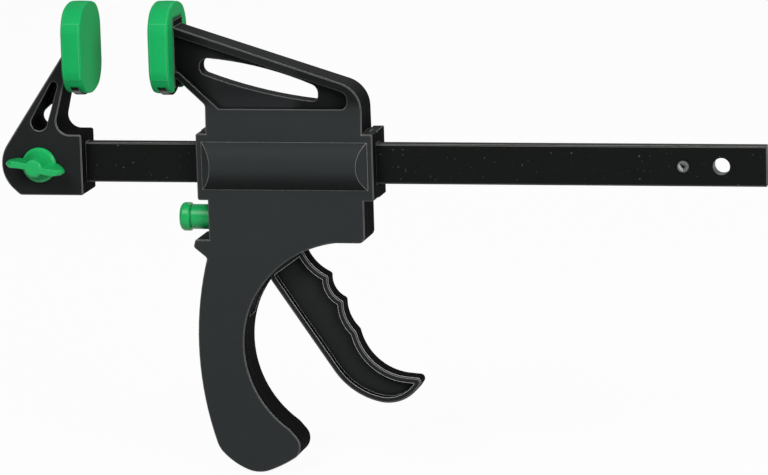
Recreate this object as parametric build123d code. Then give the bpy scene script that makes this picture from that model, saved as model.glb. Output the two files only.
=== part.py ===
from build123d import *
import math
import os

# Quick release bar clamp. Lengths are in millimetres and angles in degrees.
# While the pieces are drawn, x runs along the bar from the clamping face of the
# fixed pad towards the bar's free end, z is the height above the bar's centre
# line, and y is the depth: the side with the wing knob is the front, at minus y.
# The moving group is drawn with its own clamping face at x = 0, facing minus x.
# Each piece is exported with its origin at the centre of the fixed clamping face.

# ---- Driving dimensions -----------------------------------------------------

# Bar, stop pin and spreader hole
bar_height = 18.0
bar_thickness = 7.0
bar_edge_radius = 1.0
bar_free_end = 303.0
bar_past_stud = 9.0
spreader_hole_radius = 3.75
spreader_hole_from_end = 19.6
stop_pin_from_end = 36.4
stop_pin_radius = 3.05
stop_pin_bore = 1.6
stop_pin_slit = 1.0
stop_pin_slit_angle = 125.0
stop_pin_proud = 0.9

# Pads, and the heads on which they slide
pad_centre = 51.6
pad_width = 34.2
pad_height = 41.6
pad_thickness = 9.3
pad_crown_rise = 5.6
pad_shoulder_radius = 7.0
pad_edge_chamfer = 0.8
pad_front_wall = 2.7
pad_grip_length = 28.2
pad_grip_rise = 1.0
pad_grip_proud = 0.4
head_thickness = 3.6
head_side_inset = 3.2
head_top_inset = 4.0
head_foot_proud = 0.5
neck_width = 16.0
neck_above_centre = 12.9
arm_end_above_centre = 10.0
arm_end_below_centre = 13.0
jaw_neck_below_centre = 10.7

# Fixed jaw
jaw_thickness = 22.0
jaw_head_thickness = 16.0
jaw_setback = 3.3
jaw_above_bar = 4.5
jaw_below_bar = 4.9
jaw_neck_foot = 12.9
jaw_neck_radius = 6.0
jaw_back_reach = 41.9
jaw_back_drop = 2.3
jaw_back_radius = 15.4
jaw_heel_reach = 29.2
jaw_heel_radius = 3.0
jaw_window_radius = 3.7
jaw_window_tip_radius = 1.7
jaw_window_reach = 19.2
jaw_window_height = 19.0
jaw_window_tip_reach = 12.2
jaw_window_tip_height = 35.4
jaw_window_web = 6.0
jaw_hole_length = 4.5
recess_edge_radius = 0.5

# Wing knob, stud and nut
stud_from_jaw_face = 19.5
stud_radius = 2.5
knob_base_radius = 7.9
knob_rim = 1.2
knob_top_radius = 4.3
knob_height = 11.5
wing_span = 26.9
wing_thickness = 2.6
wing_draft = 0.9
wing_tip_radius = 3.6
wing_foot = 1.6
wing_tilt = -8.5
nut_across_flats = 8.0
nut_thickness = 4.0

# Body block, with the collars in which the bar slides
opening = 30.7
body_thickness = 22.0
parting_depth = 7.0
shell_wall = 2.5
block_left = 23.2
block_width = 71.1
block_below_bar = 25.5
block_above_bar = 18.0
block_corner_radius = 3.0
collar_overhang = 4.6
collar_above_bar = 5.4
collar_below_bar = 6.6
collar_rear_proud = 3.5
corner_radius = 1.0
front_edge_radius = 0.8
rear_edge_radius = 1.9

# Bulges on both sides of the body
bulge_height = 21.4
bulge_depth = 4.5
bulge_inset = 2.5

# Arm
arm_end_thickness = 16.0
depth_knee_radius = 60.0
arm_shoulder_above_bar = 25.0
arm_shoulder_radius = 13.0
arm_web_thickness = 10.0
arm_top_rim = 3.9
arm_rear_rim = 6.7
arm_pocket_radius = 4.0
arm_pocket_above_bar = 16.4
arm_foot_rim = 3.4
arm_pocket_step = 1.7
arm_pocket_foot_inset = 6.3
window_from_left = 3.3
window_length = 53.4
window_left_height = 6.8
window_right_height = 6.5
window_left_above_bar = 31.6
window_right_above_bar = 18.9
window_top_bow = 2.4
window_bottom_bow = 1.8
window_radius = 3.6
window_end_radius = 4.2
window_heel_radius = 2.4

# Grip: places are x from the block's left face and z from the bar's centre line
arch_from_right = 13.5
grip_arch_foot = (18.2, -63.0)
grip_toe_top = (34.1, -119.3)
grip_toe = (41.8, -128.3)
grip_bottom = (19.8, -139.7)
grip_heel = (1.3, -128.0)
grip_neck = (-1.3, -42.0)
arch_bow = -6.3
grip_front_bow = -10.3
grip_back_bow = 6.4
toe_bow = 1.3
toe_radius = 6.5
heel_bow = 2.0
heel_radius = 12.0
bottom_radius = 14.0
lip_overhang = 6.3
lip_thickness = 8.6
lip_radius = 1.5
notch_height = 17.0
rib_thickness = 1.6
grip_rib_pitch = 16.0
grip_ribs_from = -97.0
mouth_width = 40.0
mouth_below_bar = 60.0
mouth_gap = 4.0

# Trigger, as distances from its pivot
pivot_from_left = 30.1
pivot_below_bar = 20.0
pivot_pin_radius = 2.5
hub_radius = 6.5
nose_rise = 14.0
nose_radius = 4.0
nose_thickness = 8.0
trigger_thickness = 10.5
trigger_edge_radius = 1.2
trigger_tip_radius = 2.0
trigger_rim = 2.6
trigger_web_thickness = 2.8
trigger_pocket_reach = 16.0
trigger_pocket_lean = 35.5
trigger_knee = (-4.2, -23.0)
trigger_heel = (23.9, -64.6)
trigger_sole = (45.5, -78.6)
trigger_tip = (64.4, -67.2)
trigger_hook = (57.0, -66.6)
trigger_root = (12.0, -11.5)
finger_crest_top = (22.6, -21.4)
finger_crest_middle = (29.0, -32.6)
finger_crest_low = (34.6, -46.6)
groove_depth_top = 1.3
groove_depth_middle = 2.3
groove_depth_low = 1.7
hook_depth = 5.0
sole_bow = 2.6
tip_bow = 3.9
crest_radius = 1.6

# Plates, springs and release button
plate_thickness = 2.0
plate_width = 15.0
plate_above_bar = 4.5
plate_below_bar = 12.5
plate_spacing = 0.25
brake_top_from_left = 9.4
brake_pivot_above_bar = 5.0
brake_above_bar = 8.0
brake_below_bar = 19.0
brake_lean = 5.0
spring_wire = 0.9
drive_spring_radius = 3.7
drive_spring_turns = 7
drive_spring_drop = 17.5
brake_spring_radius = 3.0
brake_spring_turns = 3
brake_spring_drop = 19.0
spring_seat_from_left = 16.8
spring_post_length = 6.0
button_drop = 24.9
button_cap_radius = 6.4
button_cap_length = 5.0
button_stem_radius = 5.6
button_stem_length = 10.0
button_flange_radius = 7.2
button_flange_thickness = 1.5
button_nose_radius = 3.0

# Housing screws
screw_radius = 1.5
screw_head_radius = 2.8
screw_head_height = 2.0
screw_socket = 1.2
screw_boss_radius = 3.6
screw_sink = 3.0

# Clearances
running_gap = 0.08
slide_gap = 0.25
seat_gap = 0.02
loose_gap = 0.5
body_gap = 0.3

# ---- Places worked out from the sizes above ---------------------------------

bar_low = -bar_height / 2
bar_top = bar_height / 2
bar_side = bar_thickness / 2
front_face = -body_thickness / 2
rear_face = body_thickness / 2
parting = front_face + parting_depth
inner_front = front_face + shell_wall
inner_rear = rear_face - shell_wall

stud_x = -jaw_setback - stud_from_jaw_face
bar_start = stud_x - bar_past_stud
spreader_hole_x = bar_free_end - spreader_hole_from_end
stop_pin_x = bar_free_end - stop_pin_from_end

block_right = block_left + block_width
block_low = bar_low - block_below_bar
block_top = bar_top + block_above_bar
collar_left = block_left - collar_overhang
collar_right = block_right + collar_overhang
collar_low = bar_low - collar_below_bar
collar_top = bar_top + collar_above_bar
inside_left = block_left + shell_wall
inside_right = block_right - shell_wall
ceiling = block_top - shell_wall

head_back = pad_thickness + slide_gap
button_z = -button_drop
notch_low = button_z - notch_height / 2
pivot_x = block_left + pivot_from_left
pivot_z = bar_low - pivot_below_bar
plates_start = pivot_x + nose_radius + body_gap
plates_end = plates_start + 2 * plate_thickness + plate_spacing
brake_x = block_left + brake_top_from_left
brake_z = bar_top + brake_pivot_above_bar
spring_seat_x = block_left + spring_seat_from_left
reach = 2 * bar_free_end


# ---- Helpers ----------------------------------------------------------------


def slab(side_view, y_low, y_high):
    """A side view, drawn in x and z, given depth between two values of y."""
    return extrude(Plane.XZ.offset(-y_high) * side_view, amount=y_high - y_low)


def along_bar(end_view, x_low, x_high):
    """An end view, drawn in y and z, made long between two values of x."""
    return extrude(Plane.YZ.offset(x_low) * end_view, amount=x_high - x_low)


def cross_rod(x, z, radius, y_low, y_high):
    """A cylinder that lies across the clamp, along y."""
    return slab(Pos(x, z) * Circle(radius), y_low, y_high)


def long_rod(z, radius, x_low, x_high):
    """A cylinder that lies along the bar, in the middle of the depth."""
    return along_bar(Pos(0, z) * Circle(radius), x_low, x_high)


def cuboid(x_low, x_high, y_low, y_high, z_low, z_high):
    """A box between its corners."""
    middle = ((x_low + x_high) / 2, (y_low + y_high) / 2, (z_low + z_high) / 2)
    return Pos(*middle) * Box(x_high - x_low, y_high - y_low, z_high - z_low)


def outline(*corners):
    """A closed side view from its corners, in clockwise order.

    Each corner is x, z, its radius, and how far the side after it bows outwards.
    """
    sides = []
    for here, there in zip(corners, corners[1:] + corners[:1]):
        start, end, bow = here[:2], there[:2], here[3]
        sides.append(SagittaArc(start, end, bow) if bow else Line(start, end))
    view = make_face(sides)
    for x, z, radius, bow in corners:
        if radius:
            view = fillet(view.vertices().sort_by_distance((x, z, 0))[0], radius)
    return view


def inset(view, amount):
    """A side view made smaller all round, with every rounded corner a true arc."""
    sides = [ThreePointArc(side @ 0, side @ 0.5, side @ 1) if side.geom_type == GeomType.OFFSET
             else side for side in offset(view, amount=-amount).edges()]
    return make_face(sides)


def bar_section(gap):
    """The bar's section in y and z, larger all round by a gap."""
    return RectangleRounded(bar_thickness + 2 * gap, bar_height + 2 * gap, bar_edge_radius)


def depth_profile(thickness, end_thickness):
    """End view of a jaw: full depth by the bar, then narrowing towards its end."""
    foot = thickness / 2
    arm_top = pad_centre + arm_end_above_centre
    slope = (thickness - end_thickness) / 2 / (arm_top - collar_top)
    tip = foot - slope * (2 * arm_top - collar_top)
    view = make_face(Polyline((-foot, -reach), (foot, -reach), (foot, collar_top),
                              (tip, 2 * arm_top), (-tip, 2 * arm_top), (-foot, collar_top),
                              close=True))
    knees = [corner for corner in view.vertices() if abs(corner.Y - collar_top) < slide_gap]
    return fillet(knees, depth_knee_radius)


def soften(solid, side, radius, from_x):
    """Round the outline's edges on the front (side -1) or rear (side 1), beyond an x."""
    faces = [face for face in solid.faces() if side * face.normal_at().Y > 0.9]
    edges = [edge for face in faces for edge in face.edges()]
    rim = [edge for edge in edges
           if sum(edge.is_same(other) for other in edges) == 1
           and edge.bounding_box().max.X > from_x + slide_gap]
    return fillet(rim, radius)


def recessed(solid, view, y_low, y_high):
    """A solid with a side view cut into it between two depths, and its rims rounded."""
    cut = solid - slab(view, y_low, y_high)
    left = view.bounding_box().min.X + slide_gap
    deepest = y_high - recess_edge_radius
    fresh = [edge for edge in cut.edges() if not any(edge.is_same(old) for old in solid.edges())]
    rim = [edge for edge in fresh
           if abs((edge @ 1 - edge @ 0).Y) < edge.length / 2
           and edge.bounding_box().max.X > left and edge.bounding_box().max.Y < deepest]
    return fillet(rim, recess_edge_radius)


def save(name, shape, from_fixed_pad=0.0):
    """Write a piece with its origin at the centre of the fixed clamping face."""
    export_step(Pos(from_fixed_pad, 0, -pad_centre) * shape, "parts/" + name + ".step")


# ---- Bar --------------------------------------------------------------------


def make_bar():
    """Flat steel bar with its stud hole, stop pin hole and spreader hole."""
    bar = along_bar(bar_section(0), bar_start, bar_free_end)
    bar -= cross_rod(stud_x, 0, stud_radius + running_gap, -bar_thickness, bar_thickness)
    bar -= cross_rod(stop_pin_x, 0, stop_pin_radius + seat_gap, -bar_thickness, bar_thickness)
    bar -= cross_rod(spreader_hole_x, 0, spreader_hole_radius, -bar_thickness, bar_thickness)
    return bar


def make_stop_pin():
    """Rolled spring pin with its slit, standing a little proud on both sides."""
    half = bar_side + stop_pin_proud
    pin = cross_rod(stop_pin_x, 0, stop_pin_radius, -half, half)
    pin = chamfer(pin.edges().filter_by(GeomType.CIRCLE), stop_pin_proud / 3)
    pin -= cross_rod(stop_pin_x, 0, stop_pin_bore, -half, half)
    slit = Pos(stop_pin_radius, 0) * Rectangle(2 * stop_pin_radius, stop_pin_slit)
    pin -= slab(Pos(stop_pin_x, 0) * Rot(0, 0, stop_pin_slit_angle) * slit, -half, half)
    return pin


# ---- Pads and their heads ---------------------------------------------------


def crowned(width, height, rise, shoulder):
    """An end view with straight sides and shallow arches at top and bottom."""
    side = width / 2
    top = height / 2
    corner = top - rise
    return outline((-side, corner, shoulder, rise), (side, corner, shoulder, 0),
                   (side, -corner, shoulder, rise), (-side, -corner, shoulder, 0))


def head_view(gap):
    """End view of the flange that a pad slides onto, larger by a gap."""
    width = pad_width - 2 * head_side_inset + 2 * gap
    height = pad_height - head_top_inset + head_foot_proud + 2 * gap
    shoulder = pad_shoulder_radius - head_side_inset / 2
    drop = (head_top_inset + head_foot_proud) / 2
    return Pos(0, -drop) * crowned(width, height, pad_crown_rise, shoulder)


def make_pad():
    """Soft pad with its clamping face at x = 0 and a T-shaped pocket behind it."""
    pad = along_bar(crowned(pad_width, pad_height, pad_crown_rise, pad_shoulder_radius),
                    -pad_thickness, 0)
    rims = pad.faces().sort_by(Axis.X)[-1].edges() + pad.faces().sort_by(Axis.X)[0].edges()
    pad = chamfer(rims, pad_edge_chamfer)
    grip = Pos(0, pad_grip_rise) * Rectangle(pad_width + 2 * pad_grip_proud, pad_grip_length)
    pad += along_bar(grip, pad_edge_chamfer - pad_thickness, -pad_edge_chamfer)
    pocket_back = -pad_front_wall - head_thickness - 2 * slide_gap
    flange_width = pad_width - 2 * head_side_inset + 2 * slide_gap
    mouth = Pos(0, -pad_height / 2) * Rectangle(flange_width, pad_height - pad_grip_length)
    pad -= along_bar(head_view(slide_gap) + mouth, pocket_back, -pad_front_wall)
    slot_top = neck_above_centre + slide_gap
    slot = Pos(0, slot_top - pad_height / 2) * Rectangle(neck_width + 2 * slide_gap, pad_height)
    pad -= along_bar(slot, -pad_thickness, pocket_back)
    return Pos(0, 0, pad_centre) * pad


def make_head():
    """The flange and neck on a jaw, for a pad whose face is at x = 0."""
    flange_front = -pad_front_wall - slide_gap
    flange_back = flange_front - head_thickness
    flange = along_bar(head_view(0), flange_back, flange_front)
    neck_low = -arm_end_below_centre - head_top_inset
    neck = Pos(0, (neck_above_centre + neck_low) / 2) * Rectangle(
        neck_width, neck_above_centre - neck_low)
    return Pos(0, 0, pad_centre) * (flange + along_bar(neck, -head_back, flange_back))


# ---- Fixed jaw --------------------------------------------------------------


def jaw_view():
    """Side view of the fixed jaw, from the block on the bar up to the pad."""
    face = -jaw_setback
    low = bar_low - jaw_below_bar
    step = bar_top + jaw_above_bar
    return outline(
        (-head_back, pad_centre, 0, 0),
        (-head_back, pad_centre - jaw_neck_below_centre, 0, 0),
        (face - jaw_neck_foot, step, jaw_neck_radius, 0),
        (face, step, corner_radius, 0),
        (face, low, corner_radius, 0),
        (face - jaw_heel_reach, low, jaw_heel_radius, 0),
        (face - jaw_back_reach, -jaw_back_drop, jaw_back_radius, 0),
    )


def jaw_window_tip_length():
    """Distance between the centres of the window's round ends."""
    return math.hypot(jaw_window_reach - jaw_window_tip_reach,
                      jaw_window_tip_height - jaw_window_height)


def jaw_window_view(length):
    """Teardrop side view whose round ends are a length apart, big end below."""
    share = length / jaw_window_tip_length()
    tip_reach = jaw_window_reach + share * (jaw_window_tip_reach - jaw_window_reach)
    tip_height = jaw_window_height + share * (jaw_window_tip_height - jaw_window_height)
    big_end = Pos(-jaw_setback - jaw_window_reach, jaw_window_height) * Circle(jaw_window_radius)
    small_end = Pos(-jaw_setback - tip_reach, tip_height) * Circle(jaw_window_tip_radius)
    return make_hull(big_end.edges() + small_end.edges())


def make_fixed_jaw():
    """Moulded jaw with its bar socket, stud hole, nut pocket and window."""
    half = jaw_thickness / 2
    jaw = slab(jaw_view(), -half, half)
    jaw &= along_bar(depth_profile(jaw_thickness, jaw_head_thickness), -bar_free_end, 0)
    for side in (-1, 1):
        jaw = soften(jaw, side, front_edge_radius, -bar_free_end)
    jaw += make_head()
    jaw -= along_bar(bar_section(seat_gap), bar_start - seat_gap, 0)
    recess_floor = half - jaw_window_web
    jaw = recessed(jaw, jaw_window_view(jaw_window_tip_length()), -half, recess_floor)
    jaw -= slab(jaw_window_view(jaw_hole_length), 0, half)
    jaw -= cross_rod(stud_x, 0, stud_radius + running_gap, -half, half)
    return jaw - make_nut_blank(seat_gap)


def make_nut_blank(gap):
    """The nut's hexagon, larger by a gap, at the rear face of the fixed jaw."""
    rear = jaw_thickness / 2
    hexagon = RegularPolygon(nut_across_flats / 2 + gap, 6, major_radius=False)
    return slab(Pos(stud_x, 0) * hexagon, rear - nut_thickness - gap, rear)


def make_nut():
    """Hexagon nut in its pocket."""
    return make_nut_blank(0) - cross_rod(stud_x, 0, stud_radius + running_gap, 0, jaw_thickness)


# ---- Wing knob and stud -----------------------------------------------------


def make_wing_knob():
    """Cone-shaped knob with two thin wings that narrow towards the front."""
    seat = -jaw_thickness / 2 - body_gap
    front = seat - knob_height
    cone = loft([
        Plane.XZ.offset(knob_rim - seat) * Pos(stud_x, 0) * Circle(knob_base_radius),
        Plane.XZ.offset(-front - corner_radius) * Pos(stud_x, 0) * Circle(knob_top_radius),
    ])
    foot = SlotOverall(knob_rim + wing_span, wing_thickness + 2 * wing_draft)
    edge = SlotOverall(knob_rim + wing_span, wing_thickness)
    wings = loft([Plane.XZ.offset(wing_foot - seat) * foot, Plane.XZ.offset(-front) * edge])
    wing_depth = knob_height - wing_foot
    plan = Pos(0, front + wing_depth / 2) * RectangleRounded(wing_span, wing_depth, wing_tip_radius)
    wings &= extrude(plan, amount=knob_height, both=True)
    wings = Pos(stud_x, 0, 0) * Rot(0, -wing_tilt, 0) * wings
    knob = cross_rod(stud_x, 0, knob_base_radius, seat - knob_rim, seat) + cone + wings
    return knob - cross_rod(stud_x, 0, stud_radius, seat - knob_height / 2, seat)


def make_wing_stud():
    """Threaded stud, moulded into the knob, that runs through to the nut."""
    seat = -jaw_thickness / 2 - body_gap
    stud = cross_rod(stud_x, 0, stud_radius, seat - knob_height / 2, jaw_thickness / 2)
    return chamfer(stud.faces().sort_by(Axis.Y)[-1].edges(), stud_radius / 5)


# ---- Moving jaw: the housing's outlines -------------------------------------


def body_view():
    """Side view of the block and the curved grip below it."""

    def place(spot, radius, bow):
        return (block_left + spot[0], spot[1], radius, bow)

    return outline(
        (block_left, block_top, 0, 0),
        (block_right, block_top, block_corner_radius, 0),
        (block_right, block_low, block_corner_radius, 0),
        (block_right - arch_from_right, block_low, 0, arch_bow),
        place(grip_arch_foot, 0, grip_front_bow),
        place(grip_toe_top, toe_radius, 0),
        place(grip_toe, toe_radius, toe_bow),
        place(grip_bottom, bottom_radius, heel_bow),
        place(grip_heel, heel_radius, grip_back_bow),
        place(grip_neck, 0, 0),
        (block_left, notch_low, 0, 0),
    )


def lip_view():
    """Side view of the thumb lip below the release button."""
    inside = block_left + shell_wall
    foot = notch_low - 2 * lip_thickness
    return outline(
        (block_left - lip_overhang, notch_low, corner_radius, 0),
        (inside, notch_low, 0, 0),
        (inside, foot, 0, 0),
        (block_left - lip_radius, foot, 0, 0),
        (block_left - corner_radius, notch_low - lip_thickness, block_corner_radius, 0),
        (block_left - lip_overhang - corner_radius, notch_low - lip_thickness / 2.5, lip_radius, 0),
    )


def collar_view():
    """Side view of the collars that carry the bar at both ends of the block."""
    return outline(
        (collar_left, collar_top, corner_radius, 0),
        (collar_right, collar_top, corner_radius, 0),
        (collar_right, collar_low, corner_radius, 0),
        (collar_left, collar_low, corner_radius, 0),
    )


def arm_view():
    """Side view of the arm that carries the moving pad."""
    arm_low = pad_centre - arm_end_below_centre
    return outline(
        (head_back, pad_centre + arm_end_above_centre, 0, 0),
        (block_right, bar_top + arm_shoulder_above_bar, arm_shoulder_radius, 0),
        (block_right, collar_top - corner_radius, 0, 0),
        (block_left, collar_top - corner_radius, 0, 0),
        (block_left, block_top, block_corner_radius, 0),
        (head_back + corner_radius, arm_low, 0, 0),
        (head_back, arm_low, 0, 0),
    )


def arm_slope():
    """How far the arm's top edge falls for each millimetre towards the rear."""
    fall = pad_centre + arm_end_above_centre - bar_top - arm_shoulder_above_bar
    return fall / (block_right - head_back)


def arm_pocket_view():
    """Side view of the arm's recess, which leaves a rim and a thinner web."""
    top = pad_centre + arm_end_above_centre - arm_top_rim
    right = block_right - arm_rear_rim
    arm_low = pad_centre - arm_end_below_centre
    low = bar_top + arm_pocket_above_bar
    return outline(
        (head_back, top, 0, 0),
        (right, top - arm_slope() * (right - head_back), arm_pocket_radius, 0),
        (right, low, block_corner_radius, 0),
        (block_left + arm_pocket_foot_inset, low, corner_radius, 0),
        (head_back + arm_pocket_step, arm_low + arm_foot_rim, block_corner_radius, 0),
        (head_back, arm_low + arm_foot_rim, 0, 0),
    )


def arm_window_view():
    """Side view of the long opening through the arm's web, bowed on both sides."""
    left = block_left - window_from_left
    right = left + window_length
    low_left = bar_top + window_left_above_bar
    low_right = bar_top + window_right_above_bar
    return outline(
        (left, low_left + window_left_height, window_radius, window_top_bow),
        (right, low_right + window_right_height, window_end_radius, 0),
        (right, low_right, window_heel_radius, window_bottom_bow),
        (left, low_left, window_radius, 0),
    )


def trigger_view(tip_radius):
    """Side view of the squeeze lever with its finger grooves and hooked toe."""

    def from_pivot(place, radius, bow):
        return (pivot_x + place[0], pivot_z + place[1], radius, bow)

    return outline(
        from_pivot((-hub_radius, 0), 0, 0),
        from_pivot((hub_radius, 0), 0, 0),
        from_pivot(trigger_root, block_corner_radius, -groove_depth_top),
        from_pivot(finger_crest_top, crest_radius, -groove_depth_middle),
        from_pivot(finger_crest_middle, crest_radius, -groove_depth_low),
        from_pivot(finger_crest_low, 2 * crest_radius, -hook_depth),
        from_pivot(trigger_hook, tip_radius, 0),
        from_pivot(trigger_tip, tip_radius, tip_bow),
        from_pivot(trigger_sole, 0, sole_bow),
        from_pivot(trigger_heel, hub_radius, 0),
        from_pivot(trigger_knee, hub_radius, 0),
    )


# ---- Moving jaw: the housing ------------------------------------------------


def make_bulge(side):
    """Barrel-shaped bulge on one side of the body, with sloped ends."""
    chord = bulge_height / 2
    radius = (chord**2 + bulge_depth**2) / (2 * bulge_depth)
    face = side * body_thickness / 2
    crown = face + side * bulge_depth
    left = collar_left + bulge_inset
    right = collar_right - bulge_inset
    barrel = along_bar(Pos(crown - side * radius, 0) * Circle(radius), left, right)
    plan = make_face(Polyline((left, 0), (left, face), (left + bulge_depth, crown),
                              (right - bulge_depth, crown), (right, face), (right, 0), close=True))
    return barrel & extrude(plan, amount=bulge_height, both=True)


def screw_places():
    """Where the housing screws go, as x and z."""
    above_bar = (collar_top + ceiling) / 2 - corner_radius
    corner = shell_wall + screw_boss_radius + corner_radius
    grip_middle = block_left + (grip_arch_foot[0] - grip_back_bow) / 2
    return [
        (block_left + block_width / 3, above_bar),
        (block_right - corner, above_bar),
        (block_right - corner, block_low + corner),
        (block_left + corner / 2, notch_low - lip_thickness - corner / 2),
        (grip_middle, grip_ribs_from + grip_rib_pitch / 2),
        (block_left + grip_bottom[0], grip_heel[1]),
    ]


def make_grip_ribs(cavity):
    """Cross ribs that stiffen both halves of the grip."""
    ribs = [cuboid(0, block_right, inner_front, inner_rear, z - rib_thickness, z)
            for z in (grip_ribs_from + grip_rib_pitch * step for step in (-1, 0, 1, 2))]
    return [rib & slab(cavity, inner_front, inner_rear) for rib in ribs]


def make_housing():
    """Both halves of the housing in one, ready to be cut and parted."""
    body = body_view()
    depth = along_bar(depth_profile(body_thickness, arm_end_thickness), 0, bar_free_end)
    housing = slab(body + arm_view(), front_face, rear_face) & depth
    housing = soften(housing, -1, front_edge_radius, head_back)
    housing = soften(housing, 1, rear_edge_radius, head_back)
    housing = recessed(housing, arm_pocket_view(), -body_thickness, parting)
    housing -= slab(arm_pocket_view(), arm_web_thickness / 2, body_thickness)
    housing = recessed(housing, arm_window_view(), -body_thickness, body_thickness)
    for view in (lip_view(), collar_view()):
        piece = slab(view, front_face, rear_face)
        housing += soften(soften(piece, -1, front_edge_radius, 0), 1, front_edge_radius, 0)
    housing += Rot(0, 0, 180) * make_head()
    housing += make_bulge(-1) + make_bulge(1)
    for left, right in ((collar_left, block_left), (block_right, collar_right)):
        housing += cuboid(left, right, 0, rear_face + collar_rear_proud, collar_low, collar_top)
    cavity = inset(body, shell_wall)
    housing -= slab(cavity, inner_front, inner_rear)
    for rib in make_grip_ribs(cavity):
        housing += rib
    return housing


def make_seats():
    """Inner ribs that hold the brake plate's top, its spring and the drive spring."""
    slot_left = brake_x - plate_thickness / 2 - loose_gap
    slot_right = brake_x + plate_thickness / 2 + 2 * loose_gap
    slot_top = bar_top + brake_above_bar + 2 * loose_gap
    brake_block = cuboid(slot_left - rib_thickness, slot_right + rib_thickness,
                         inner_front, inner_rear, brake_z + loose_gap, ceiling)
    brake_slot = cuboid(slot_left, slot_right, inner_front, inner_rear, brake_z, slot_top)
    spring_rib = cuboid(spring_seat_x, spring_seat_x + rib_thickness, inner_front, inner_rear,
                        -brake_spring_drop - 2 * brake_spring_radius, bar_low - slide_gap)
    post = long_rod(-drive_spring_drop, drive_spring_radius - spring_wire / 2 - loose_gap,
                    inside_right - spring_post_length, inside_right)
    return [brake_block - brake_slot, spring_rib, post]


def cut_housing(housing):
    """The housing with its seats, bosses and the openings for what moves."""
    side = trigger_thickness / 2 + body_gap
    mouth_right = pivot_x + trigger_root[0] + mouth_gap
    housing -= cuboid(mouth_right - mouth_width, mouth_right, -side, side,
                      bar_low - mouth_below_bar, block_low + block_corner_radius)
    for seat in make_seats():
        housing += seat
    housing -= along_bar(bar_section(slide_gap), 0, bar_free_end)
    housing -= long_rod(button_z, button_stem_radius + slide_gap, 0, inside_left)
    pin_end = body_thickness / 2 - shell_wall / 2
    for end in (inner_front, inner_rear):
        near_trigger = math.copysign(side, end)
        boss_low, boss_high = sorted((end, near_trigger))
        housing += cross_rod(pivot_x, pivot_z, 2 * pivot_pin_radius, boss_low, boss_high)
    housing -= cross_rod(pivot_x, pivot_z, pivot_pin_radius, -pin_end, pin_end)
    seat = rear_face - screw_sink
    for x, z in screw_places():
        housing += cross_rod(x, z, screw_boss_radius, inner_front, inner_rear)
        housing -= cross_rod(x, z, screw_head_radius + slide_gap, seat, rear_face)
        housing -= cross_rod(x, z, screw_radius, inner_front, seat)
    return housing


# ---- Trigger ----------------------------------------------------------------


def make_trigger():
    """Lever with recessed sides, a pivot bore and the nose that pushes the plates."""
    half = trigger_thickness / 2
    web = trigger_web_thickness / 2
    trigger = slab(trigger_view(trigger_tip_radius), -half, half)
    for side in (-1, 1):
        trigger = soften(trigger, side, trigger_edge_radius, 0)
    trigger += cross_rod(pivot_x, pivot_z, hub_radius, -half, half)
    pocket = inset(trigger_view(0), trigger_rim)
    above = Rectangle(reach, reach, align=(Align.CENTER, Align.MIN))
    pocket -= Pos(pivot_x, pivot_z) * Rot(0, 0, trigger_pocket_lean) * Pos(
        0, -trigger_pocket_reach) * above
    trigger -= slab(pocket, -half, -web)
    trigger -= slab(pocket, web, half)
    nose = Pos(pivot_x, pivot_z + nose_rise / 2) * Rot(0, 0, 90) * SlotCenterToCenter(
        nose_rise, 2 * nose_radius)
    trigger += slab(nose, -nose_thickness / 2, nose_thickness / 2)
    return trigger - cross_rod(pivot_x, pivot_z, pivot_pin_radius + running_gap, -half, half)


def make_trigger_pin():
    """Steel pin held by both halves of the housing."""
    pin_end = body_thickness / 2 - shell_wall / 2
    return cross_rod(pivot_x, pivot_z, pivot_pin_radius, -pin_end, pin_end)


# ---- Plates, springs, button and screws -------------------------------------


def make_plate(above, below):
    """Steel plate with its hole for the bar, standing across x = 0."""
    high = bar_top + above
    low = bar_low - below
    view = Pos(0, (high + low) / 2) * RectangleRounded(plate_width, high - low, corner_radius)
    view -= Rectangle(bar_thickness + 2 * slide_gap, bar_height + 2 * slide_gap)
    return along_bar(view, -plate_thickness / 2, plate_thickness / 2)


def make_drive_plate(number):
    """One of the two plates that grip the bar when the trigger is squeezed."""
    middle = plates_start + plate_thickness / 2 + number * (plate_thickness + plate_spacing)
    return Pos(middle, 0, 0) * make_plate(plate_above_bar, plate_below_bar)


def make_brake_plate():
    """Leaning plate that jams on the bar and stops it slipping back."""
    plate = Pos(0, 0, -brake_z) * make_plate(brake_above_bar, brake_below_bar)
    return Pos(brake_x, 0, brake_z) * Rot(0, brake_lean, 0) * plate


def make_spring(radius, turns, drop, x_low, x_high):
    """Coil spring that lies along x, below the bar."""
    length = x_high - x_low - spring_wire
    coil = Helix(length / turns, length, radius)
    wire = sweep(Plane(coil @ 0, z_dir=coil % 0) * Circle(spring_wire / 2), path=coil, is_frenet=True)
    return Pos(x_low + spring_wire / 2, 0, -drop) * Rot(0, 90, 0) * wire


def make_drive_spring():
    """Spring between the drive plates and the right-hand wall."""
    return make_spring(drive_spring_radius, drive_spring_turns, drive_spring_drop,
                       plates_end, inside_right)


def make_brake_spring():
    """Spring that keeps the brake plate leaning on the bar."""
    lean = math.tan(math.radians(brake_lean))
    to_spring_top = brake_z + brake_spring_drop - brake_spring_radius
    behind_plate = brake_x + plate_thickness / 2 - lean * to_spring_top
    return make_spring(brake_spring_radius, brake_spring_turns, brake_spring_drop,
                       behind_plate + body_gap, spring_seat_x)


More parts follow.
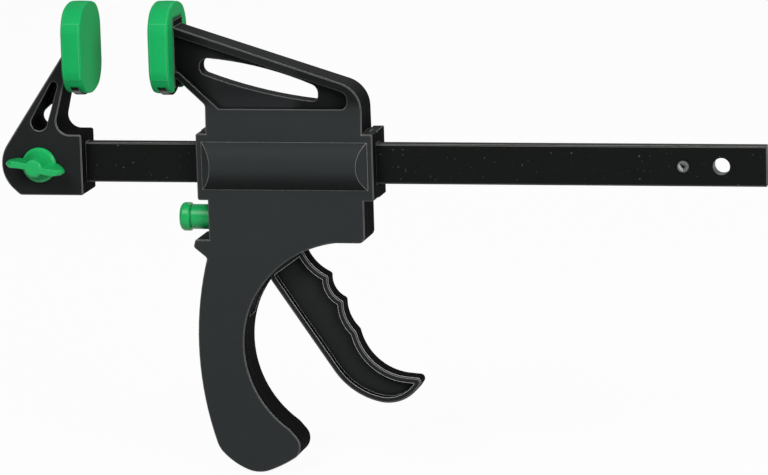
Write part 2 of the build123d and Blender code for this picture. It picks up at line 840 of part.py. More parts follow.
def make_release_button():
    """Push button: rounded cap, stem, retaining flange and nose."""
    stem_start = block_left - button_stem_length
    flange_start = inside_left + body_gap
    flange_end = flange_start + button_flange_thickness
    to_nose_low = brake_z + button_drop + button_nose_radius
    nose_end = brake_x - plate_thickness / 2 - math.tan(math.radians(brake_lean)) * to_nose_low
    cap = long_rod(button_z, button_cap_radius, stem_start - button_cap_length, stem_start)
    cap = fillet(cap.faces().sort_by(Axis.X)[0].edges(), corner_radius)
    cap = cap + long_rod(button_z, button_stem_radius, stem_start, flange_start)
    cap = cap + long_rod(button_z, button_flange_radius, flange_start, flange_end)
    return cap + long_rod(button_z, button_nose_radius, flange_end, nose_end - body_gap)


def make_screws():
    """The housing screws as one group, driven from the rear, with hexagon sockets."""
    seat = rear_face - screw_sink
    top = seat + screw_head_height
    screws = []
    for x, z in screw_places():
        screw = cross_rod(x, z, screw_head_radius, seat, top)
        screw += cross_rod(x, z, screw_radius, inner_front + body_gap, seat)
        screw -= slab(Pos(x, z) * RegularPolygon(screw_socket, 6), seat + screw_head_height / 3, top)
        screws.append(screw)
    return Compound(screws)


# ---- Export -----------------------------------------------------------------

os.makedirs("parts", exist_ok=True)

save("bar", make_bar())
save("bar_stop_pin", make_stop_pin())
save("fixed_jaw", make_fixed_jaw())
save("fixed_jaw_pad", make_pad())
save("jaw_nut", make_nut())
save("wing_knob", make_wing_knob())
save("wing_stud", make_wing_stud())

housing = cut_housing(make_housing())
front_half = cuboid(-reach, reach, -reach, parting, -reach, reach)
save("front_shell", housing & front_half, opening)
save("rear_shell", housing - front_half, opening)
save("moving_jaw_pad", Rot(0, 0, 180) * make_pad(), opening)
save("trigger", make_trigger(), opening)
save("trigger_pin", make_trigger_pin(), opening)
save("drive_plate_1", make_drive_plate(0), opening)
save("drive_plate_2", make_drive_plate(1), opening)
save("drive_spring", make_drive_spring(), opening)
save("brake_plate", make_brake_plate(), opening)
save("brake_spring", make_brake_spring(), opening)
save("release_button", make_release_button(), opening)
save("housing_screws", make_screws(), opening)
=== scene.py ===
import bpy
import bmesh
import math
from mathutils import Matrix, Vector


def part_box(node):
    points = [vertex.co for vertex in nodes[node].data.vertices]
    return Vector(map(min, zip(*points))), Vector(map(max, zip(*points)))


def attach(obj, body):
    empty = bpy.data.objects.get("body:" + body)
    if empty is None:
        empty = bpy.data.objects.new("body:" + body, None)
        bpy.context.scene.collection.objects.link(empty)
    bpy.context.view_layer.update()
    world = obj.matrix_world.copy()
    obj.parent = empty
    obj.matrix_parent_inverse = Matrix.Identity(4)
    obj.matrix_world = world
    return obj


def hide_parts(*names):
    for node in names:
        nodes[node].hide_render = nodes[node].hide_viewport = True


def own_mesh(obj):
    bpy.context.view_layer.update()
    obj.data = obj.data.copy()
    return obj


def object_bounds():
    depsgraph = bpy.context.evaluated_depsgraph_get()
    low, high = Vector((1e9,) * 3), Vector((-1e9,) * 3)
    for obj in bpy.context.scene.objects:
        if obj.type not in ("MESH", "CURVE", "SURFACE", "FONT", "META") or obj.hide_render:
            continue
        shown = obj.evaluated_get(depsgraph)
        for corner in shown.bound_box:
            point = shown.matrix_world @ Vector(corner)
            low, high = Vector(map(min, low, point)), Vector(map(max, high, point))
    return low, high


# Quick release bar clamp. Lengths are in metres. The origin is the middle of the
# fixed jaw's clamping face, x runs along the bar to its free end and z is up.
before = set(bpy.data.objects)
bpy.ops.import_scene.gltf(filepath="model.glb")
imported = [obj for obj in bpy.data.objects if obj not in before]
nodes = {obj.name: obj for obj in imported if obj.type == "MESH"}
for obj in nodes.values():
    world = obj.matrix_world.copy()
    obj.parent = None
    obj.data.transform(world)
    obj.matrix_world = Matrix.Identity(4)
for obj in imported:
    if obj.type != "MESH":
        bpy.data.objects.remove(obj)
cad_box = [list(corner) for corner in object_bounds()]


# ---- Bar ---------------------------------------------------------------------------
# One length of cold-drawn flat steel with softened edges, blacked and oiled. Faint
# drawing lines run along it, and paler grey highlight lines are painted along its edges.

class Value:
    """A shader socket that can be used in sums; each sum adds its Math node."""

    def __init__(self, finish, socket):
        self.finish, self.socket = finish, socket

    def math(self, operation, *others):
        return self.finish.node("ShaderNodeMath", {"operation": operation},
                                dict(enumerate((self, *others))))

    def __add__(self, other):
        return self.math("ADD", other)

    def __radd__(self, other):
        return self.math("ADD", other)

    def __mul__(self, other):
        return self.math("MULTIPLY", other)

    def __rmul__(self, other):
        return self.math("MULTIPLY", other)

    def __sub__(self, other):
        return self.math("SUBTRACT", other)

    def __rsub__(self, other):
        return self.finish.node("ShaderNodeMath", {"operation": "SUBTRACT"}, {0: other, 1: self})

    def __neg__(self):
        return self * -1

    def __abs__(self):
        return self.math("ABSOLUTE")

    def step(self, low, high):
        """From 0 at low to 1 at high, with soft ends."""
        return self.finish.node("ShaderNodeMapRange", {"interpolation_type": "SMOOTHSTEP"}, {
            "Value": self, "From Min": low, "From Max": high})

    def band(self, start, full, fading, gone):
        """1 between full and fading, and 0 before start and after gone."""
        return self.step(start, full) * (1 - self.step(fading, gone))


class Finish:
    """A material on a Principled shader, with one way to add any other node."""

    def __init__(self, name, **surface):
        self.material = bpy.data.materials.new(name)
        self.material.use_nodes = True
        self.tree = self.material.node_tree
        self.shader = self.tree.nodes["Principled BSDF"]
        self.set(**surface)

    def set(self, **surface):
        """Values or links for the shader's sockets."""
        for words, value in surface.items():
            name = words.replace("_", " ").title().replace("Ior", "IOR")
            self.feed(self.shader.inputs[name], value)

    def feed(self, socket, value):
        if isinstance(value, Value):
            self.tree.links.new(value.socket, socket)
        else:
            socket.default_value = value

    def node(self, kind, settings, inputs, output=0):
        """Any node, from its type, its settings and what goes into its sockets."""
        made = self.tree.nodes.new(kind)
        for words, value in settings.items():
            setattr(made, words, value)
        for place, value in inputs.items():
            self.feed(made.inputs[place], value)
        return Value(self, made.outputs[output])

    def place(self, stretch=(1, 1, 1)):
        """Object coordinates, stretched."""
        where = self.node("ShaderNodeTexCoord", {}, {}, "Object")
        return self.node("ShaderNodeMapping", {}, {"Vector": where, "Scale": stretch})

    def noise(self, scale, detail=3.0, stretch=(1, 1, 1)):
        return self.node("ShaderNodeTexNoise", {}, {
            "Vector": self.place(stretch), "Scale": scale, "Detail": detail})

    def part_of(self, vector, axis):
        """One of the three numbers in a vector."""
        return self.node("ShaderNodeSeparateXYZ", {}, {"Vector": vector}, axis)

    def along(self, axis):
        """Where a point lies along an axis."""
        return self.part_of(self.place(), axis)

    def facing(self, axis):
        """How far the surface faces along an axis."""
        return self.part_of(self.node("ShaderNodeTexCoord", {}, {}, "Normal"), axis)

    def from_axis(self, x, z):
        """Distance from a line that runs along y through a point."""
        across, above = self.along("X") - x, self.along("Z") - z
        return (across * across + above * above).math("SQRT")

    def blend(self, amount, first, second):
        """From the first colour to the second by an amount."""
        return self.node("ShaderNodeMix", {"data_type": "RGBA"}, {
            "Factor": amount, 6: first, 7: second}, 2)

    def bump(self, height, distance):
        self.set(normal=self.node("ShaderNodeBump", {}, {"Distance": distance, "Height": height}))

    def painted_highlight_rims(self):
        """Two fine painted highlight lines along each rounded rim, where it leaves the face and
        the side, stronger on top.
        """
        ahead = abs(self.facing("Y"))
        at_side = ahead.band(0.32, 0.42, 0.48, 0.58)
        at_face = ahead.band(0.82, 0.88, 0.92, 0.97)
        side_strength, face_strength = 1.2, 0.45
        more_on_top = 0.75 + 0.25 * self.facing("Z")
        return (at_side * side_strength + at_face * face_strength) * more_on_top

    def openness(self, reach):
        """1 where a surface lies open, towards 0 deep in a corner."""
        return self.node("ShaderNodeAmbientOcclusion", {"samples": 6, "only_local": True},
                         {"Distance": reach}, "AO")

    def painted_edge_highlights(self, width):
        """1 along sharp outward edges, 0 on faces and in corners: the mask for painted highlight
        lines.
        """
        true = self.node("ShaderNodeNewGeometry", {}, {}, "Normal")
        eased = self.node("ShaderNodeBevel", {"samples": 8}, {"Radius": width})
        turn = self.node("ShaderNodeVectorMath", {"operation": "DOT_PRODUCT"},
                         {0: true, 1: eased}, "Value")
        least_turn, full_turn, in_corner, on_edge = 0.01, 0.07, 0.45, 0.7
        outward = self.openness(2 * width).step(in_corner, on_edge)
        return (1 - turn).step(least_turn, full_turn) * outward

    def coat(self, *pieces):
        """Give pieces this material on every face."""
        for piece in pieces:
            piece.data.materials.clear()
            piece.data.materials.append(self.material)


steel = Finish("blacked steel", specular_ior_level=0.1)
draw_scale, lengthways, draw_depth = 900, (0.02, 1, 1), 0.00002
oil_scale = 60
drawn_lines = steel.noise(draw_scale, 4, lengthways)
oil_patches = steel.noise(oil_scale)
dry_black, oiled_black = (0.0025, 0.0033, 0.0028, 1), (0.006, 0.0075, 0.0065, 1)
blacked = steel.blend(oil_patches, dry_black, oiled_black)

# Bare metal shows through in fine specks, and the rims get paler painted highlight lines, stronger
# on top.
dust = steel.noise(draw_scale, 0).step(0.79, 0.83) * 0.22
rim = steel.painted_highlight_rims() * (0.7 + 0.6 * drawn_lines)
bare_steel_and_highlight, cut_steel_painted_pale = (0.38, 0.38, 0.36, 1), (0.8, 0.8, 0.8, 1)
dust_and_highlights = steel.blend(rim.math("MAXIMUM", dust), blacked, bare_steel_and_highlight)
# The wall of the hole is bare cut steel painted near white, as the white seen through the hole.
hole_x, hole_z, hole_radius, hole_margin = 0.2834, -0.0516, 0.0036, 0.0002
pale_hole_wall = 1 - steel.from_axis(hole_x, hole_z).step(hole_radius, hole_radius + hole_margin)
steel.set(base_color=steel.blend(pale_hole_wall, dust_and_highlights, cut_steel_painted_pale),
          roughness=0.34 + 0.14 * oil_patches + 0.1 * drawn_lines)
steel.bump(drawn_lines, draw_depth)
steel.coat(nodes["bar"])

# ---- Fixed jaw, housing and trigger --------------------------------------------------
# All four are moulded in black glass-filled nylon. Their faces have a fine
# spark-eroded grain, and their rounded rims carry paler painted highlight lines.

grain_scale, grain_depth, flow_scale = 2400, 0.00004, 40
edge_highlight_width, corner_reach, corner_shade = 0.0004, 0.0035, 0.85
bulge_edge, grip_top = (0.01098, 0.0111), (-0.11, -0.095)
painted_shade_black = (0.002, 0.0022, 0.0022, 1)


def moulded_nylon(name, first, second, top_shade):
    """Black nylon with a fine grain and flow marks, painted shade in corners and on its sides, and
    a mask of painted highlight lines along its rims.

    Above the grip, upward sides take only the share top_shade of that painted shade.
    """
    nylon = Finish(name, specular_ior_level=0.07)
    grain = nylon.noise(grain_scale, 2)
    flow = nylon.noise(flow_scale)
    on_bulge = abs(nylon.along("Y")).step(*bulge_edge)
    # Painted highlight lines along the rounded rims, off the bulge, and along sharp outward edges.
    rim = nylon.painted_highlight_rims() * (1 - on_bulge)
    rim = rim.math("MAXIMUM", nylon.painted_edge_highlights(edge_highlight_width))
    above_grip = nylon.along("Z").step(*grip_top)
    upward = nylon.facing("Z").step(0.15, 0.8) * above_grip
    # Painted shade: faces turned away from the front and back, and corners, darken towards black.
    side = (1 - abs(nylon.facing("Y")).step(0.1, 0.35)) * (1 - upward * (1 - top_shade))
    corner = 1 - nylon.openness(corner_reach).step(0.35, 0.9)
    face = nylon.blend(flow * 0.6 + grain * 0.4, first, second)
    black = nylon.blend(side.math("MAXIMUM", corner * corner_shade), face, painted_shade_black)
    nylon.set(roughness=0.44 + 0.1 * flow + 0.08 * grain - 0.1 * rim + 0.45 * side)
    return nylon, grain, black, rim


# Paler grey for the painted highlight lines on the jaw's and trigger's rims.
jaw_highlight = (0.6, 0.6, 0.57, 1)
jaw_nylon, jaw_grain, jaw_shaded, jaw_highlight_lines = moulded_nylon(
    "black jaw nylon", (0.01, 0.0115, 0.0115, 1), (0.024, 0.0265, 0.0265, 1), top_shade=1.0)
jaw_nylon.set(base_color=jaw_nylon.blend(jaw_highlight_lines, jaw_shaded, jaw_highlight))
jaw_nylon.bump(jaw_grain, grain_depth)
jaw_nylon.coat(nodes["fixed_jaw"], nodes["trigger"])

# The housing's two shells meet on a line that shows round their sides as a fine
# groove. Their faces are a shade paler than the jaw's, with paler painted highlight
# lines on their rims. The arm is darker, and painted shade darkens the ends of its
# pocket and the underside of the bulge.
parting_y, groove_edge, groove_cut = -0.004, (0.00008, 0.00025), 8
arm_foot, arm_darkening = (-0.03, -0.018), 0.6
pocket_foot, pocket_floor = (-0.032, -0.028), (0.0100, 0.0104)
pocket_left, pocket_right, right_shade = (0.046, 0.07), (0.088, 0.098), 0.8
bulge_shade = 0.75
# Paler grey for the painted highlight lines on the shells' rims.
shell_highlight = (0.42, 0.42, 0.4, 1)
dark_arm_and_shade_black, groove_black = (0.004, 0.0045, 0.0045, 1), (0.002, 0.002, 0.002, 1)

shell_nylon, shell_grain, shell_shaded, shell_highlight_lines = moulded_nylon(
    "black housing nylon", (0.026, 0.0295, 0.0305, 1), (0.036, 0.04, 0.0415, 1), top_shade=0.3)
along, depth, above = (shell_nylon.along(axis) for axis in "XYZ")
on_side = 1 - abs(shell_nylon.facing("Y")).step(0.3, 0.5)
groove = (1 - abs(depth - parting_y).step(*groove_edge)) * on_side
on_arm = above.step(*arm_foot) * arm_darkening
# Painted shade: the ends of the pocket floor and the downward faces under the bulge are darkened,
# and the arm is darker too.
recessed = (1 - abs(depth).step(*pocket_floor)) * above.step(*pocket_foot)
left_end, right_end = 1 - along.step(*pocket_left), along.step(*pocket_right) * right_shade
ends = left_end.math("MAXIMUM", right_end)
downward = (-shell_nylon.facing("Z")).step(0.0, 0.6)
under_bulge = abs(depth).step(*bulge_edge) * downward * bulge_shade
dark_arm_and_painted_shade = (recessed * ends).math("MAXIMUM", on_arm).math("MAXIMUM", under_bulge)
shell_dark = shell_nylon.blend(dark_arm_and_painted_shade, shell_shaded, dark_arm_and_shade_black)
shell_colour = shell_nylon.blend(shell_highlight_lines, shell_dark, shell_highlight)
shell_nylon.set(base_color=shell_nylon.blend(groove, shell_colour, groove_black))
shell_nylon.bump(shell_grain - groove * groove_cut, grain_depth)
shell_nylon.coat(nodes["front_shell"], nodes["rear_shell"])

# ---- Pads ----------------------------------------------------------------------------
# Soft green caps that slide down over the flange of each jaw. Their sides swell a
# little, with a raised grip panel, and every rim is rounded. Below, the pocket and
# the slot for the jaw's neck stay open.

pad_width, pad_height, pad_thickness = 0.0346, 0.0409, 0.0093
pad_rise, pad_shoulder, pad_rim, face_rim = 0.0056, 0.007, 0.0009, 0.0005
pad_swell, swell_share_upwards, pad_slices = 0.0004, 0.4, 10
panel_low, panel_high, panel_proud = -0.0131, 0.0151, 0.0004
pocket_front, pocket_back, pocket_inset, pocket_drop = 0.0027, 0.0068, 0.0029, 0.00375
neck_slot_width, neck_slot_top = 0.0165, 0.01315
square_edge = 1.2


def crowned_block(width, height, rise, shoulder, left, right, slices):
    """A block along x whose end view has straight sides and arched top and bottom."""
    shoulder_segments, arch_cuts = 8, 11
    block = bmesh.new()
    bmesh.ops.create_grid(block, x_segments=1, y_segments=1, size=0.5)
    bmesh.ops.scale(block, verts=block.verts, vec=(width, height - 2 * rise, 1))
    bmesh.ops.bevel(block, geom=block.verts[:], offset=shoulder, segments=shoulder_segments,
                    profile=0.5, affect="VERTICES", material=-1)
    ends = [edge for edge in block.edges if edge.calc_length() > width / 4
            and abs(edge.verts[0].co.y - edge.verts[1].co.y) < rise / 100]
    bmesh.ops.subdivide_edges(block, edges=ends, cuts=arch_cuts)
    for vert in block.verts:
        arch = 1 - (2 * vert.co.x / width)**2
        vert.co.y += math.copysign(rise * arch, vert.co.y) * min(1, abs(4 * vert.co.y / height))
    to_end_view = Matrix(((0, 0, 1), (1, 0, 0), (0, 1, 0)))
    bmesh.ops.rotate(block, verts=block.verts, matrix=to_end_view)
    bmesh.ops.translate(block, verts=block.verts, vec=(left, 0, 0))
    grown = bmesh.ops.extrude_face_region(block, geom=block.faces[:])
    moved = [item for item in grown["geom"] if isinstance(item, bmesh.types.BMVert)]
    bmesh.ops.translate(block, verts=moved, vec=(right - left, 0, 0))
    for number in range(1, slices):
        cut = left + (right - left) * number / slices
        bmesh.ops.bisect_plane(block, geom=block.verts[:] + block.edges[:] + block.faces[:],
                               plane_co=(cut, 0, 0), plane_no=(1, 0, 0))
    bmesh.ops.recalc_face_normals(block, faces=block.faces)
    return block


def made_object(name, mesh):
    """An object from a bmesh, smooth but for its sharp edges."""
    sharp_from = math.radians(38)
    data = bpy.data.meshes.new(name)
    mesh.to_mesh(data)
    mesh.free()
    data.shade_smooth()
    data.set_sharp_from_angle(angle=sharp_from)
    made = bpy.data.objects.new(name, data)
    bpy.context.scene.collection.objects.link(made)
    return made


def cut_away(piece, *cutters):
    """Cut other objects out of a piece and drop them."""
    for cutter in cutters:
        modifier = piece.modifiers.new("cut", "BOOLEAN")
        modifier.operation, modifier.solver, modifier.object = "DIFFERENCE", "EXACT", cutter
    settled(piece)
    for cutter in cutters:
        bpy.data.objects.remove(cutter)


def settled(piece):
    """Keep what a piece's modifiers make of it, and drop them."""
    bpy.context.view_layer.update()
    seen = piece.evaluated_get(bpy.context.evaluated_depsgraph_get())
    kept = bpy.data.meshes.new_from_object(seen)
    piece.modifiers.clear()
    piece.data = kept


def stand_for(piece, node, body):
    """A finished piece rides on a body and stands for a node."""
    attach(piece, body)
    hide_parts(node)


def block_between(name, low, high):
    """A plain block between two corners, for cutting."""
    block = bmesh.new()
    bmesh.ops.create_cube(block, size=1)
    size = [top - foot for foot, top in zip(low, high)]
    middle = [(foot + top) / 2 for foot, top in zip(low, high)]
    bmesh.ops.scale(block, verts=block.verts, vec=size)
    bmesh.ops.translate(block, verts=block.verts, vec=middle)
    return made_object(name, block)


def make_pad(name):
    """A pad with its clamping face at x = 0, its back at minus x."""
    pad = crowned_block(pad_width, pad_height, pad_rise, pad_shoulder, -pad_thickness, 0,
                        pad_slices)
    for cut in (panel_low, panel_high):
        bmesh.ops.bisect_plane(pad, geom=pad.verts[:] + pad.edges[:] + pad.faces[:],
                               plane_co=(0, 0, cut), plane_no=(0, 0, 1))
    for vert in pad.verts:
        depth = 2 * vert.co.x / pad_thickness + 1
        grown = 1 + pad_swell * (1 - depth**2) / (pad_width / 2)
        vert.co.y *= grown
        vert.co.z *= 1 - swell_share_upwards + swell_share_upwards * grown
    for side, rim in ((-pad_thickness, pad_rim), (0, face_rim)):
        rims = [edge for edge in pad.edges if edge.calc_face_angle(0) > square_edge
                and all(abs(vert.co.x - side) < rim / 9 for vert in edge.verts)]
        bmesh.ops.bevel(pad, geom=rims, offset=rim, segments=4, profile=0.5, affect="EDGES",
                        material=-1)
    pad.normal_update()
    panels = [face for face in pad.faces if abs(face.normal.y) > 0.9
              and panel_low < face.calc_center_median().z < panel_high
              and -pad_thickness + pad_rim < face.calc_center_median().x < -pad_rim]
    raised = bmesh.ops.extrude_face_region(pad, geom=panels)["geom"]
    for vert in raised:
        if isinstance(vert, bmesh.types.BMVert):
            vert.co.y += math.copysign(panel_proud, vert.co.y)
    bmesh.ops.delete(pad, geom=panels, context="FACES_ONLY")
    made = made_object(name, pad)
    pocket = crowned_block(pad_width - 2 * pocket_inset, pad_height, pad_rise,
                           pad_shoulder - pocket_inset / 2, -pocket_back, -pocket_front, 1)
    bmesh.ops.translate(pocket, verts=pocket.verts, vec=(0, 0, -pocket_drop))
    slot = block_between("slot", (-2 * pad_thickness, -neck_slot_width / 2, -pad_height),
                         (-pocket_back + pad_rim, neck_slot_width / 2, neck_slot_top))
    cut_away(made, made_object("pocket", pocket), slot)
    made.modifiers.new("soft faces", "WEIGHTED_NORMAL").keep_sharp = True
    return made


rubber = Finish("green pad rubber", specular_ior_level=0.06)
mottle_scale, pore_scale, pore_depth, pad_edge_highlight_width = 70, 3200, 0.00005, 0.0005
mottle = rubber.noise(mottle_scale)
pores = rubber.noise(pore_scale, 1)
pore_green, highlight_green = (0.006, 0.24, 0.06, 1), (0.1, 0.62, 0.25, 1)
shaded = rubber.blend(mottle, (0.011, 0.43, 0.115, 1), (0.014, 0.5, 0.14, 1))
grained = rubber.blend(pores.step(0.58, 0.72) * 0.5, shaded, pore_green)
# Pale green painted highlight lines along the pads' sharp outward edges.
pad_highlight = rubber.painted_edge_highlights(pad_edge_highlight_width) * 0.95
rubber.set(base_color=rubber.blend(pad_highlight, grained, highlight_green),
           roughness=0.52 + 0.12 * mottle)
rubber.bump(pores, pore_depth)
fixed_pad, moving_pad = make_pad("fixed_pad_cap"), make_pad("moving_pad_cap")
fixed_face, moving_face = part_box("fixed_jaw_pad")[1].x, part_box("moving_jaw_pad")[0].x
fixed_pad.data.transform(Matrix.Translation((fixed_face, 0, 0)))
turned_round = Matrix.Rotation(math.pi, 4, "Z")
moving_pad.data.transform(Matrix.Translation((moving_face, 0, 0)) @ turned_round)
rubber.coat(fixed_pad, moving_pad)
stand_for(fixed_pad, "fixed_jaw_pad", "bar_and_fixed_jaw")
stand_for(moving_pad, "moving_jaw_pad", "moving_jaw")

# ---- Wing knob -----------------------------------------------------------------------
# A green moulding on the clamping stud: a cone with a thin rim at its foot, and two
# wings that flow out of the cone and thicken towards their rounded tips.

knob_low, knob_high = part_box("wing_knob")
knob_middle = (knob_low + knob_high) / 2
knob_seat, knob_front = knob_high.y, knob_low.y
knob_radius = (knob_high.z - knob_low.z) / 2
knob_rim, cone_top, cone_easing, cone_dome = 0.0010, 0.0040, 0.0008, 0.0001
cone_radii_and_heights = ((0.0066, 0.0022), (0.0054, 0.0048), (0.0046, 0.0078))
wing_length, wing_tilt, wing_foot = knob_high.x - knob_low.x, 8.5, 0.0016
wing_thickness, wing_foot_swell, wing_tip_swell, wing_wave = 0.0027, 0.0012, 0.0007, 0.0006
tip_roundness, tip_middle, thinnest_edge = 0.55, 0.9, 0.05


def turned(profile, axis, middle, steps=64):
    """A solid turned about an axis through a point, from its half outline."""
    solid = bmesh.new()
    points = [solid.verts.new(point) for point in profile]
    edges = [solid.edges.new(pair) for pair in zip(points, points[1:])]
    bmesh.ops.spin(solid, geom=points + edges, cent=middle, axis=axis, angle=math.tau,
                   steps=steps, use_merge=True)
    bmesh.ops.remove_doubles(solid, verts=solid.verts, dist=1e-7)
    bmesh.ops.recalc_face_normals(solid, faces=solid.faces)
    return solid


centre = (knob_middle.x, 0, knob_middle.z)
cone_slope = [(radius, knob_seat - height) for radius, height in cone_radii_and_heights]
knob = turned([(knob_middle.x + radius, depth, knob_middle.z) for radius, depth in (
    (0, knob_seat), (knob_radius, knob_seat), (knob_radius, knob_seat - knob_rim), *cone_slope,
    (cone_top, knob_front + cone_easing), (cone_top * 0.8, knob_front + cone_dome),
    (0, knob_front))], (0, 1, 0), centre)
wings = bmesh.new()
bmesh.ops.create_cube(wings, size=1)
bmesh.ops.subdivide_edges(wings, edges=wings.edges[:], cuts=23, use_grid_fill=True)
wing_depth = knob_seat - wing_foot - knob_front
for vert in wings.verts:
    outward, deep, high = 2 * vert.co.x, vert.co.y + 0.5, vert.co.z
    rounded_tip = math.sqrt(1 - tip_roundness * (2 * deep - tip_middle)**2 * outward**4)
    rounded_edge = math.sqrt(max(thinnest_edge, 1 - outward**10))
    thick = wing_thickness + wing_foot_swell * deep + wing_tip_swell * outward**2
    wave = wing_wave * math.sin(outward * math.pi) * (1 - deep)
    vert.co = (outward * rounded_tip * wing_length / 2,
               knob_front + deep * wing_depth,
               high * thick * rounded_edge - wave)
tilt = Matrix.Rotation(math.radians(wing_tilt), 3, "Y")
bmesh.ops.rotate(wings, verts=wings.verts, matrix=tilt)
bmesh.ops.translate(wings, verts=wings.verts, vec=centre)
bmesh.ops.recalc_face_normals(wings, faces=wings.faces)
wing_data = bpy.data.meshes.new("wings")
wings.to_mesh(wing_data)
knob.from_mesh(wing_data)
wing_knob = made_object("green_wing_knob", knob)
merge = wing_knob.modifiers.new("flow together", "REMESH")
voxel, ease_strength, ease_rounds = 0.00018, 0.5, 7
merge.mode, merge.voxel_size = "VOXEL", voxel
ease = wing_knob.modifiers.new("ease", "SMOOTH")
ease.factor, ease.iterations = ease_strength, ease_rounds
settled(wing_knob)
wing_knob.data.shade_smooth()

moulding = Finish("green moulding", specular_ior_level=0.3)
swirl_scale = 90
swirl = moulding.noise(swirl_scale, 2)
moulding.set(base_color=moulding.blend(swirl, (0.011, 0.43, 0.11, 1), (0.014, 0.5, 0.135, 1)),
             roughness=0.26 + 0.1 * swirl)
moulding.coat(wing_knob)
stand_for(wing_knob, "wing_knob", "wing_bolt")

# ---- Release button --------------------------------------------------------------------
# A green turned shape: a domed cap, a fine neck where it meets the stem, the stem
# that slides in the housing, and behind the wall a flange and a nose.

button_low, button_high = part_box("release_button")
button_z = (button_low.z + button_high.z) / 2
button_length = button_high.x - button_low.x
cap_radius, neck_radius, stem_radius, flange_radius, nose_radius = (
    0.0064, 0.0050, 0.0056, 0.0072, 0.0030)
flange_start, flange_end = 0.0176, 0.0191
button = turned([(button_low.x + along, radius, button_z) for along, radius in (
    (0, 0), (0.00005, 0.0040), (0.0003, 0.0052), (0.0009, 0.0060), (0.0018, cap_radius),
    (0.0044, cap_radius), (0.0048, 0.0062), (0.0049, 0.0059), (0.0049, neck_radius),
    (0.0055, neck_radius), (0.0056, 0.0054), (0.0058, stem_radius),
    (flange_start, stem_radius), (flange_start, flange_radius), (flange_end, flange_radius),
    (flange_end, nose_radius), (button_length, nose_radius), (button_length, 0))],
    (1, 0, 0), (0, 0, button_z))
push_button = made_object("green_push_button", button)
push_button.modifiers.new("soft faces", "WEIGHTED_NORMAL").keep_sharp = True
moulding.coat(push_button)
stand_for(push_button, "release_button", "release_button")

# ---- Stop pin ----------------------------------------------------------------------------
# A slotted pin rolled from spring steel strip and pressed through the bar near its
# free end, where it stops the moving jaw. Blacked, and rubbed brighter at its ends.

pin_low, pin_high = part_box("bar_stop_pin")
pin_middle = (pin_low + pin_high) / 2
pin_radius, pin_bevel = (pin_high.z - pin_low.z) / 2, 0.0003
slot_radius, slot_depth, slot_shift = 0.0016, 0.002, 0.0002
slot_shape, slot_turn = (0.55, 1.3, 1), math.radians(-52)
pin = turned([(pin_middle.x + radius, depth, pin_middle.z) for radius, depth in (
    (0, pin_low.y), (pin_radius - pin_bevel, pin_low.y), (pin_radius, pin_low.y + pin_bevel),
    (pin_radius, pin_high.y - pin_bevel), (pin_radius - pin_bevel, pin_high.y), (0, pin_high.y))],
    (0, 1, 0), (pin_middle.x, 0, pin_middle.z), steps=40)
stop_pin = made_object("slotted_stop_pin", pin)
slits = []
for end in (pin_low.y, pin_high.y):
    slit = bmesh.new()
    bmesh.ops.create_cone(slit, cap_ends=True, segments=3, radius1=slot_radius,
                          radius2=slot_radius, depth=slot_depth)
    bmesh.ops.scale(slit, verts=slit.verts, vec=slot_shape)
    bmesh.ops.rotate(slit, verts=slit.verts, matrix=Matrix.Rotation(math.pi / 2, 3, "X"))
    bmesh.ops.rotate(slit, verts=slit.verts, matrix=Matrix.Rotation(slot_turn, 3, "Y"))
    bmesh.ops.translate(slit, verts=slit.verts,
                        vec=(pin_middle.x - slot_shift, end, pin_middle.z + slot_shift))
    slits.append(made_object("slit", slit))
cut_away(stop_pin, *slits)

pin_steel = Finish("spring pin steel", metallic=0.5, roughness=0.4)
pin_scale, rubbed_outer, rubbed_inner, rubbed_depth = 700, 0.0004, 0.0007, 0.0002
within_end = 1 - pin_steel.from_axis(pin_middle.x, pin_middle.z).step(
    pin_radius - rubbed_inner, pin_radius - rubbed_outer)
at_end = abs(pin_steel.along("Y")).step(pin_high.y - rubbed_depth, pin_high.y - rubbed_depth / 2)
pin_black = pin_steel.blend(pin_steel.noise(pin_scale), (0.002, 0.002, 0.002, 1),
                            (0.006, 0.006, 0.006, 1))
rubbed_pin = (0.17, 0.18, 0.17, 1)
pin_steel.set(base_color=pin_steel.blend(within_end * at_end, pin_black, rubbed_pin))
pin_steel.coat(stop_pin)
stand_for(stop_pin, "bar_stop_pin", "bar_and_fixed_jaw")

# ---- Plates, pins, nut and stud ----------------------------------------------------------
# Steel parts that are stamped, turned or threaded, then zinc-plated. They are mostly
# hidden inside the housing and the fixed jaw.

zinc = Finish("zinc plate", metallic=1.0, roughness=0.35)
zinc.set(base_color=zinc.blend(zinc.noise(300), (0.5, 0.51, 0.53, 1), (0.62, 0.63, 0.64, 1)))
zinc.coat(*(nodes[name] for name in (
    "jaw_nut", "wing_stud", "trigger_pin", "drive_plate_1", "drive_plate_2", "brake_plate")))

# ---- Springs and screws --------------------------------------------------------------------
# Coils of drawn spring wire, which push the drive plates and the brake plate back,
# and the blackened screws that hold the two shells, driven from the rear.

spring = Finish("spring wire", metallic=1.0, roughness=0.3)
spring.set(base_color=spring.blend(spring.noise(500), (0.3, 0.3, 0.3, 1), (0.45, 0.45, 0.45, 1)))
wire, steps_in_turn, wire_sides = 0.0009, 24, 10


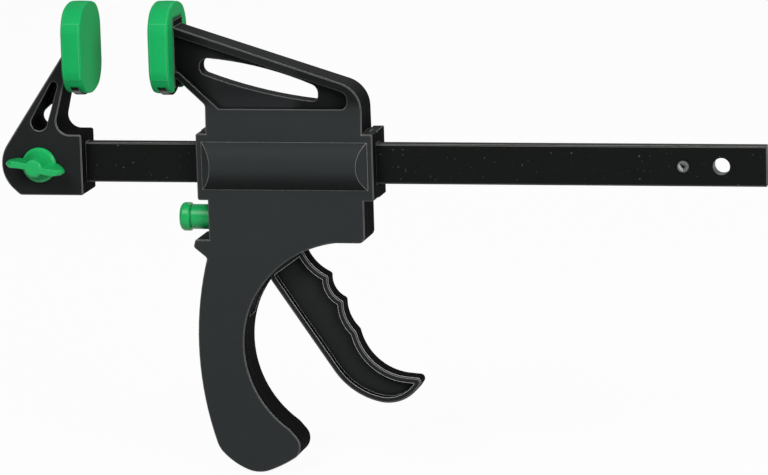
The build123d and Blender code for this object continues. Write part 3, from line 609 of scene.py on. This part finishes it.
def coil_spring(name, node, turns):
    """A coil along x that fills a node's box and rides on the moving jaw."""
    low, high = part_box(node)
    axis = (low + high) / 2
    length = high.x - low.x
    start = Vector((low.x + wire / 2, axis.y, axis.z))
    steps = steps_in_turn * turns
    coil = bmesh.new()
    bmesh.ops.create_circle(coil, segments=wire_sides, radius=wire / 2)
    bmesh.ops.rotate(coil, verts=coil.verts, matrix=Matrix.Rotation(math.pi / 2, 3, "X"))
    bmesh.ops.translate(coil, verts=coil.verts,
                        vec=start + Vector((0, 0, (high.y - low.y - wire) / 2)))
    bmesh.ops.spin(coil, geom=coil.verts[:] + coil.edges[:], cent=start, axis=(1, 0, 0),
                   dvec=((length - wire) / steps, 0, 0), angle=math.tau * turns, steps=steps)
    bmesh.ops.holes_fill(coil, edges=coil.edges, sides=wire_sides)
    bmesh.ops.recalc_face_normals(coil, faces=coil.faces)
    made = made_object(name, coil)
    spring.coat(made)
    stand_for(made, node, "moving_jaw")
    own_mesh(made)


coil_spring("plate_return_spring", "drive_spring", 7)
coil_spring("brake_return_spring", "brake_spring", 3)
screw = Finish("black screw steel", metallic=0.8, roughness=0.35)
screw.set(base_color=screw.blend(screw.noise(500), (0.03, 0.03, 0.03, 1), (0.06, 0.06, 0.06, 1)))
screw.coat(nodes["housing_screws"])

# ---- Floor, light and camera ------------------------------------------------------
# A pale floor under the clamp, which shows white to the camera and in reflections.
# Soft square lamps stand high in front, low on the right and behind, and the lens
# is a long one.

floor_reach, floor_gap, floor_shift = 8, 0.0005, (0.13, 3)
floor_mesh = bmesh.new()
bmesh.ops.create_grid(floor_mesh, x_segments=1, y_segments=1, size=floor_reach)
bmesh.ops.translate(floor_mesh, verts=floor_mesh.verts,
                    vec=(*floor_shift, cad_box[0][2] - floor_gap))
floor = made_object("floor", floor_mesh)
pale = Finish("pale floor", roughness=0.9, specular_ior_level=0.0)
seen = sum(pale.node("ShaderNodeLightPath", {}, {}, ray)
           for ray in ("Is Camera Ray", "Is Glossy Ray", "Is Transmission Ray")).math("MINIMUM", 1)
white_share, floor_grey, floor_pale = 0.95, (0.4, 0.4, 0.4, 1), (0.9, 0.9, 0.9, 1)
pale.set(base_color=pale.blend(seen, floor_grey, floor_pale))
white = pale.node("ShaderNodeEmission", {}, {"Color": (1, 1, 1, 1), "Strength": 1.0})
surface = pale.node("ShaderNodeMixShader", {}, {
    0: seen * white_share, 1: Value(pale, pale.shader.outputs["BSDF"]), 2: white})
pale.feed(pale.tree.nodes["Material Output"].inputs["Surface"], surface)
pale.coat(floor)


def lamp(name, place, aim, size, power):
    """A square soft lamp at a place, aimed at a point."""
    data = bpy.data.lights.new(name, "AREA")
    data.shape, data.size, data.energy = "SQUARE", size, power
    made = bpy.data.objects.new(name, data)
    made.location = place
    made.rotation_euler = (Vector(aim) - Vector(place)).to_track_quat("-Z", "Y").to_euler()
    bpy.context.scene.collection.objects.link(made)


middle = Vector((0.1313, 0.0, -0.0852))
lamp("high front", (-0.5, -1.2, 1.25), middle, 0.9, 18)
lamp("right", (1.3, -1.15, 0.5), middle, 0.9, 18)
lamp("rear", (0.3, 1.5, 1.3), middle, 1.2, 10)

world = bpy.data.worlds.new("studio")
bpy.context.scene.world = world
world.use_nodes = True
backdrop = world.node_tree.nodes["Background"]
backdrop.inputs["Color"].default_value = (1, 1, 1, 1)
backdrop.inputs["Strength"].default_value = 0.13

azimuth, elevation, roll = (math.radians(angle) for angle in (12.327, 10.327, -1.661))
distance, sensor, focal_length = 2.2198, 36.0, 234.375
back = Vector((math.sin(azimuth) * math.cos(elevation),
               -math.cos(azimuth) * math.cos(elevation), math.sin(elevation)))
level = Vector((math.cos(azimuth), math.sin(azimuth), 0))
upright = back.cross(level)
right = level * math.cos(roll) + upright * math.sin(roll)
up = upright * math.cos(roll) - level * math.sin(roll)
lens = bpy.data.cameras.new("camera")
lens.sensor_width, lens.lens, lens.clip_end = sensor, focal_length, 50
camera = bpy.data.objects.new("camera", lens)
camera.matrix_world = Matrix.Translation(middle + back * distance) @ Matrix(
    (right, up, back)).transposed().to_4x4()
bpy.context.scene.collection.objects.link(camera)
bpy.context.scene.camera = camera
bpy.context.scene.view_settings.view_transform = "Standard"
